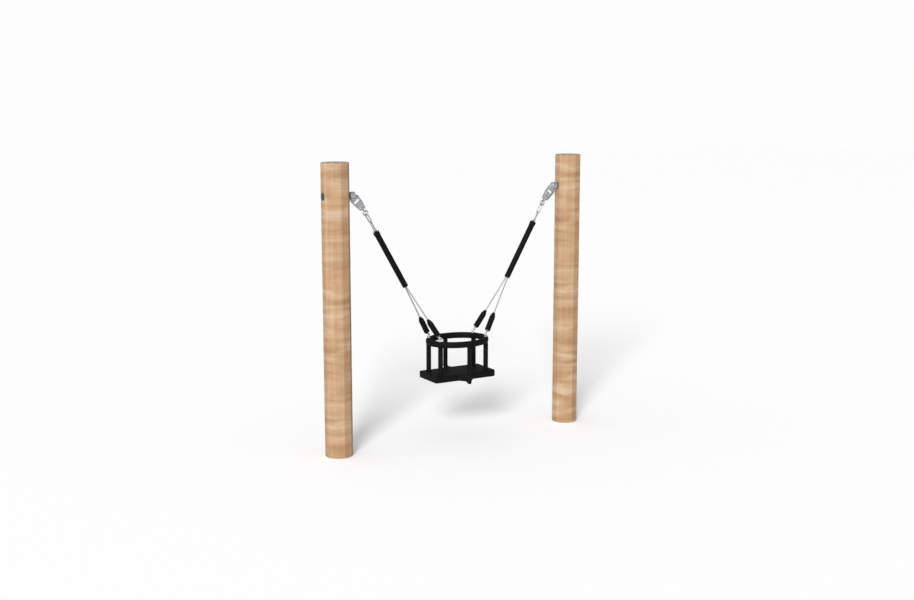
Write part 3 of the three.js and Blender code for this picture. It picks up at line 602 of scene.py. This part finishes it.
def make_hanger(side, sign):
    body = f"{side}_hanger"
    place, length = hanger_frame(sign)
    softened(f"{side}_bearing_housing", ZINC, body, CASTING_VOXEL, 10)
    softened(f"{side}_yoke", ZINC, body, CASTING_VOXEL, 6)
    softened(f"{side}_swivel_block", ZINC, body, CASTING_VOXEL, 8)
    seat = YOKE_SHOULDER + GAP
    pin = rounded([
        (-seat - 3 * MM, ON_AXIS), (-seat - 3 * MM, YOKE_PIN_HEAD - 2 * MM), (-seat, YOKE_PIN_HEAD),
        (-seat, YOKE_PIN_RADIUS), (seat, YOKE_PIN_RADIUS), (seat, YOKE_PIN_HEAD),
        (seat + 3 * MM, YOKE_PIN_HEAD - 2 * MM), (seat + 3 * MM, ON_AXIS),
    ], 1.2 * MM)
    across = place @ Matrix.Translation((YOKE_PIN_AT, 0, 0)) @ Matrix.Rotation(math.radians(-90), 4, "Y")
    piece(f"{side}_riveted_pin", moved(lathed(pin, 36), across), ZINC, body, f"{side}_yoke_pin")
    collar = YOKE_END + GAP
    stem = rounded([
        (STEM_START, ON_AXIS), (STEM_START, STEM_RADIUS), (collar, STEM_RADIUS), (collar, STEM_COLLAR),
        (length - SWIVEL_EYE_RADIUS - 1 * MM, STEM_COLLAR), (length - SWIVEL_EYE_RADIUS, ON_AXIS),
    ], 1 * MM)
    tilt = Matrix.Rotation(math.radians(TOP_LINK_TURN), 4, "X")
    eye = moved(wire_ring(SWIVEL_EYE_RADIUS, SWIVEL_WIRE), Matrix.Translation((length, 0, 0)) @ tilt)
    piece(f"{side}_forged_eye", moved(joined(lathed(stem, 40), eye), place), ZINC, body,
          f"{side}_swivel_eye")
    chain = basis(Vector((sign * CHAIN_TOP.x, 0, CHAIN_TOP.z)), chain_direction(sign), Y_AXIS)
    centre = -(TOP_LINK_LENGTH / 2 - TOP_LINK_WIRE)
    top_link = wire_link(TOP_LINK_LENGTH, TOP_LINK_WIDTH, TOP_LINK_WIRE, weld=False)
    piece(f"{side}_oval_link", moved(top_link, chain @ turned_link(centre, TOP_LINK_TURN)), ZINC, body,
          f"{side}_top_link")


def turned_link(distance, turn):
    """A link's place down the chain; turned by 0 degrees it faces along Y."""
    return Matrix.Translation((distance, 0, 0)) @ Matrix.Rotation(math.radians(turn - 90), 4, "X")


def make_chain(side, sign):
    body = f"{side}_drop"
    place = basis(Vector((sign * CHAIN_TOP.x, 0, CHAIN_TOP.z)), chain_direction(sign), Y_AXIS)
    drop = (Vector((CHAIN_TOP.x, 0, CHAIN_TOP.z)) - ROPE_BEND).length
    first_wire = -(TOP_LINK_WIRE + CHAIN_WIRE + 3 * GAP)
    hook = 2 * CHAIN_WIRE + GAP
    wire_length = (drop - first_wire + hook * (CHAIN_LINKS - 1)) / CHAIN_LINKS
    hidden = []
    for number in range(1, CHAIN_LINKS + 1):
        left_over = CHAIN_TURN * ((CHAIN_LINKS - number) / (CHAIN_LINKS - 1)) ** 3
        turn = left_over - 90 if number % 2 == 0 else left_over
        centre = first_wire + wire_length / 2 + (number - 1) * (wire_length - hook)
        steps = 20 if number <= 3 or number == CHAIN_LINKS else 8
        link_shape = wire_link(wire_length + 2 * CHAIN_WIRE, CHAIN_WIDTH, CHAIN_WIRE, steps)
        placed = moved(link_shape, place @ turned_link(centre, turn))
        if number <= 2:
            piece(f"{side}_loose_link_{number}", placed, ZINC, body, f"{side}_chain_link_{number}")
        else:
            hidden.append(placed)
    piece(f"{side}_chain_in_sleeve", joined(*hidden), ZINC, body, f"{side}_sleeved_chain")
    collar_end, end = SLEEVE_START + COLLAR_LENGTH, drop - SLEEVE_ABOVE_BEND
    sleeve = rounded([
        (SLEEVE_START, SLEEVE_BORE), (SLEEVE_START, COLLAR_RADIUS), (collar_end - 2 * MM, COLLAR_RADIUS),
        (collar_end, SLEEVE_RADIUS), (end, SLEEVE_RADIUS), (end, SLEEVE_BORE),
        (SLEEVE_START, SLEEVE_BORE),
    ], 1.5 * MM)
    piece(f"{side}_rubber_sleeve", moved(lathed(sleeve[:-1], 56, True), place), RUBBER, body,
          f"{side}_chain_sleeve")


# Rope slings and the seat's corners

def rope_leg(sign, front_back):
    """One rope leg: its eye bolt's centre, where it leaves the bend, and its direction upwards."""
    bend = Vector((sign * ROPE_BEND.x, 0, ROPE_BEND.z))
    eye = Vector((sign * CORNER_X, front_back * CORNER_Y, RING_HIGH + EYE_RISE))
    middle = Vector((eye.x, 0, eye.z)) - bend
    down = middle.normalized()
    distance = math.hypot(middle.length, CORNER_Y)
    angle = math.atan2(CORNER_Y, middle.length) + math.acos(ROPE_BEND_RADIUS / distance)
    tangent = bend + down * ROPE_BEND_RADIUS * math.cos(angle)
    tangent.y = front_back * ROPE_BEND_RADIUS * math.sin(angle)
    return {"bend": bend, "eye": eye, "tangent": tangent, "up": (tangent - eye).normalized(),
            "down": down, "angle": angle, "normal": (tangent - eye).cross(Z_AXIS).normalized()}


LINK_LOW = EYE_RADIUS - (EYE_WIRE + CORNER_LINK_WIRE + GAP)
LINK_HIGH = LINK_LOW + CORNER_LINK_LENGTH - 2 * CORNER_LINK_WIRE
END_EYE_AT = LINK_HIGH - (CORNER_LINK_WIRE + END_EYE_WIRE + GAP) + END_EYE_RADIUS
FERRULE_START = END_EYE_AT + END_EYE_RADIUS


def on_leg(leg, distance, normal):
    """A place up the rope leg, with X along the leg and Z along the normal given."""
    return basis(leg["eye"] + leg["up"] * distance, leg["up"], normal.cross(leg["up"]))


def rope_path(legs, step):
    """Points from the front ferrule, up and round the bend, and down to the back ferrule."""
    front, back = legs
    points = []
    for leg in (back, front):
        start = leg["eye"] + leg["up"] * FERRULE_START
        count = int((leg["tangent"] - start).length / step)
        run = [start.lerp(leg["tangent"], i / count) for i in range(count)]
        points = run if leg is back else points + list(reversed(run))
        if leg is back:
            bend_steps = 14
            for i in range(bend_steps + 1):
                a = leg["angle"] + (2 * math.pi - 2 * leg["angle"]) * i / bend_steps
                point = leg["bend"] + leg["down"] * ROPE_BEND_RADIUS * math.cos(a)
                point.y = ROPE_BEND_RADIUS * math.sin(a)
                points.append(point)
    return points


def stranded(path, radius, lay, strands=6):
    """Wires laid in strands round a core: each strand is a thin tube wound along the path."""
    strand_radius = radius / 3
    travelled = 0.0
    tracks = [[] for _ in range(strands)]
    normal = None
    for i, point in enumerate(path):
        before, after = path[max(i - 1, 0)], path[min(i + 1, len(path) - 1)]
        tangent = (after - before).normalized()
        normal = tangent.orthogonal().normalized() if normal is None else normal
        normal = (normal - tangent * normal.dot(tangent)).normalized()
        across = tangent.cross(normal)
        travelled += (point - before).length if i else 0
        for s in range(strands):
            a = 2 * math.pi * (s / strands + travelled / lay)
            offset = (normal * math.cos(a) + across * math.sin(a)) * (radius - strand_radius)
            tracks[s].append(point + offset)
    tubes = [swept(track, strand_radius, 8) for track in tracks]
    return joined(swept(path, strand_radius, 8), *tubes)


def make_sling(side, sign):
    legs = [rope_leg(sign, -1), rope_leg(sign, 1)]
    shapes = [stranded(rope_path(legs, ROPE_STEP), ROPE_RADIUS, ROPE_LAY)]
    for leg in legs:
        start, end = FERRULE_START, FERRULE_START + FERRULE_LENGTH
        ferrule = rounded([(start, ON_AXIS), (start, FERRULE_RADIUS), (end, FERRULE_RADIUS),
                           (end, ON_AXIS)], 1.5 * MM)
        shapes.append(moved(lathed(ferrule, 32), on_leg(leg, 0, leg["normal"])))
        end_eye = wire_ring(END_EYE_RADIUS, END_EYE_WIRE)
        shapes.append(moved(end_eye, on_leg(leg, END_EYE_AT, leg["normal"])))
    piece(f"{side}_stranded_rope", joined(*shapes), ROPE, "seat", f"{side}_rope_sling", sharp_degrees=60)


def make_corner(corner, sign, front_back):
    leg = rope_leg(sign, front_back)
    eye, normal = leg["eye"], leg["normal"]
    upright = basis(eye, Z_AXIS, normal.cross(Z_AXIS))
    low = RING_HIGH + GAP - eye.z
    high = -EYE_RADIUS
    shank_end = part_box(f"{corner}_eye_bolt")[0][2] - eye.z
    bolt = rounded([
        (shank_end, ON_AXIS), (shank_end, EYE_SHANK), (low, EYE_SHANK), (low, EYE_COLLAR),
        (low + 2.5 * MM, EYE_COLLAR), (low + 3 * MM, EYE_SHANK + 1 * MM), (high, EYE_SHANK - 1 * MM),
        (high, ON_AXIS),
    ], 0.8 * MM)
    shape = joined(lathed(bolt, 36), wire_ring(EYE_RADIUS, EYE_WIRE))
    piece(f"{corner}_forged_eye_bolt", moved(shape, upright), STAINLESS, "seat", f"{corner}_eye_bolt")
    link_face = normal.cross(leg["up"])
    oval = wire_link(CORNER_LINK_LENGTH, CORNER_LINK_WIDTH, CORNER_LINK_WIRE)
    piece(f"{corner}_oval_link", moved(oval, on_leg(leg, (LINK_LOW + LINK_HIGH) / 2, link_face)),
          STAINLESS, "seat", f"{corner}_corner_link")
    end = BOOT_START + BOOT_LENGTH
    cone = end - BOOT_CONE
    hole = ROPE_RADIUS + 0.6 * MM
    boot = rounded([
        (BOOT_START, BOOT_BORE), (BOOT_START, BOOT_RADIUS), (cone, BOOT_RADIUS),
        (cone + 12 * MM, BOOT_RADIUS - 2.5 * MM), (end, hole + 1.6 * MM), (end, hole),
        (cone + 22 * MM, hole), (cone - 4 * MM, BOOT_BORE), (BOOT_START, BOOT_BORE),
    ], 3 * MM, 5)
    piece(f"{corner}_tapered_boot", moved(lathed(boot[:-1], 48, True), on_leg(leg, 0, normal)), RUBBER,
          "seat", f"{corner}_rope_boot")


# Seat

def make_ring():
    """A soft-cornered oblong section carried round the oval, square to it."""
    half_height = (RING_HIGH - RING_LOW) / 2
    centre_z = (RING_HIGH + RING_LOW) / 2
    rings = []
    steps, sides = 160, 28
    for i in range(steps):
        a = 2 * math.pi * i / steps
        normal = Vector((math.cos(a) / RING_SEMI_X, math.sin(a) / RING_SEMI_Y, 0)).normalized()
        centre = Vector((RING_SEMI_X * math.cos(a), RING_SEMI_Y * math.sin(a), centre_z))
        section = []
        for j in range(sides):
            b = -2 * math.pi * j / sides
            c, s = math.cos(b), math.sin(b)
            square = 1 / (abs(c) ** 3 + abs(s) ** 3) ** (1 / 3)
            outwards = normal * RING_HALF_WIDTH * c * square
            section.append(centre + outwards + Z_AXIS * half_height * s * square)
        rings.append(section)
    piece("seat_ring_moulding", skin(rings, closed_along=True), RUBBER, "seat", "seat_ring")


def make_bar(name, node, x, y, radius):
    low, high = PLATE_TOP + GAP, RING_LOW - GAP
    foot = radius * BAR_FOOT
    outline = rounded([
        (low, ON_AXIS), (low, foot), (low + FOOT_HEIGHT, radius), (high, radius), (high, ON_AXIS),
    ], 2 * MM)
    upright = basis(Vector((x, y, 0)), Z_AXIS, Y_AXIS)
    piece(name, moved(lathed(outline, 40), upright), RUBBER, "seat", node)


def make_seat():
    make_ring()
    for corner, sign, front_back in CORNERS:
        x, y = sign * CORNER_X, front_back * CORNER_Y
        make_bar(f"{corner}_rubber_bar", f"{corner}_bar", x, y, BAR_RADIUS)
        make_corner(corner, sign, front_back)
    make_bar("crotch_rubber_bar", "crotch_bar", 0, -RING_SEMI_Y, MIDDLE_BAR_RADIUS)
    make_bar("back_rubber_bar", "back_bar", 0, RING_SEMI_Y, MIDDLE_BAR_RADIUS)
    softened("seat_plate", RUBBER, "seat", PLATE_VOXEL, 5)


def finish_hidden_nodes():
    """CAD nodes whose shape is right keep it and get the finer material."""
    finishes = {
        "axle_bolt": ZINC, "bolt_nut": ZINC, "bearing_bush": BRONZE,
        "eye_bolt_nut": STAINLESS, "seat_insert": ZINC,
    }
    for name, node in frame["nodes"].items():
        for ending, (_, material) in finishes.items():
            if name.endswith(ending):
                node.data.materials.clear()
                node.data.materials.append(material)


# Studio

FILL_LEFT, FILL_RIGHT, SUN_STRENGTH = 0.89, 0.34, 3.15
BACKGROUND_WHITE = 0.985
SUN_DIRECTION, SUN_WIDTH_DEGREES = Vector((0.579, 0.678, -0.454)), 17
FLOOR_REACH = 30
CAMERA_PLACE, CAMERA_LENS = (-4.2405, -7.312, 2.377), 51.03
CAMERA_DOWN_DEGREES, CAMERA_TURN_DEGREES = 9.69, -30.10


def make_stage():
    corners = [(x * FLOOR_REACH, y * FLOOR_REACH, 0) for x, y in ((-1, -1), (1, -1), (1, 1), (-1, 1))]
    floor = add_object("floor", (corners, [(0, 1, 2, 3)]))
    material, shader, place = new_material("studio_floor")
    mottle = add_noise(material, place, 40, 3, 0.5)
    pale = add_ramp(material, mottle, [(0.3, (0.925, 0.925, 0.93)), (0.7, (0.935, 0.935, 0.94))])
    link(material, pale, shader.inputs["Base Color"])
    shader.inputs["Roughness"].default_value = 0.9
    shader.inputs["Specular IOR Level"].default_value = 0.1
    floor.data.materials.append(material)
    bpy.context.scene.view_settings.view_transform = "Standard"
    world = bpy.data.worlds.new("studio")
    world.use_nodes = True
    nodes = world.node_tree.nodes
    path = nodes.new("ShaderNodeLightPath")
    direction = nodes.new("ShaderNodeSeparateXYZ")
    fill = nodes.new("ShaderNodeMapRange")
    fill.inputs["From Min"].default_value = -1.0
    fill.inputs["To Min"].default_value = FILL_LEFT
    fill.inputs["To Max"].default_value = FILL_RIGHT
    strength = nodes.new("ShaderNodeMapRange")
    strength.inputs["To Max"].default_value = BACKGROUND_WHITE
    sky = nodes.new("ShaderNodeTexCoord").outputs["Generated"]
    world.node_tree.links.new(sky, direction.inputs["Vector"])
    world.node_tree.links.new(direction.outputs["X"], fill.inputs["Value"])
    world.node_tree.links.new(fill.outputs["Result"], strength.inputs["To Min"])
    world.node_tree.links.new(path.outputs["Is Camera Ray"], strength.inputs["Value"])
    world.node_tree.links.new(strength.outputs["Result"], nodes["Background"].inputs["Strength"])
    nodes["Background"].inputs["Color"].default_value = (1, 1, 1, 1)
    bpy.context.scene.world = world
    sun = bpy.data.lights.new("window", "SUN")
    sun.energy = SUN_STRENGTH
    sun.angle = math.radians(SUN_WIDTH_DEGREES)
    lamp = bpy.data.objects.new("window", sun)
    lamp.rotation_euler = SUN_DIRECTION.to_track_quat("-Z", "Y").to_euler()
    bpy.context.collection.objects.link(lamp)


def make_camera():
    camera = bpy.data.cameras.new("camera")
    camera.sensor_width = 36
    camera.lens = CAMERA_LENS
    camera.clip_end = 200
    holder = bpy.data.objects.new("camera", camera)
    holder.location = CAMERA_PLACE
    tilt, turn = math.radians(90 - CAMERA_DOWN_DEGREES), math.radians(CAMERA_TURN_DEGREES)
    holder.rotation_euler = (tilt, 0, turn)
    bpy.context.collection.objects.link(holder)
    bpy.context.scene.camera = holder


make_camera()
make_stage()
for side, sign in SIDES:
    make_post(side, sign)
    make_post_fittings(side, sign)
    make_hanger(side, sign)
    make_chain(side, sign)
    make_sling(side, sign)
make_seat()
finish_hidden_nodes()
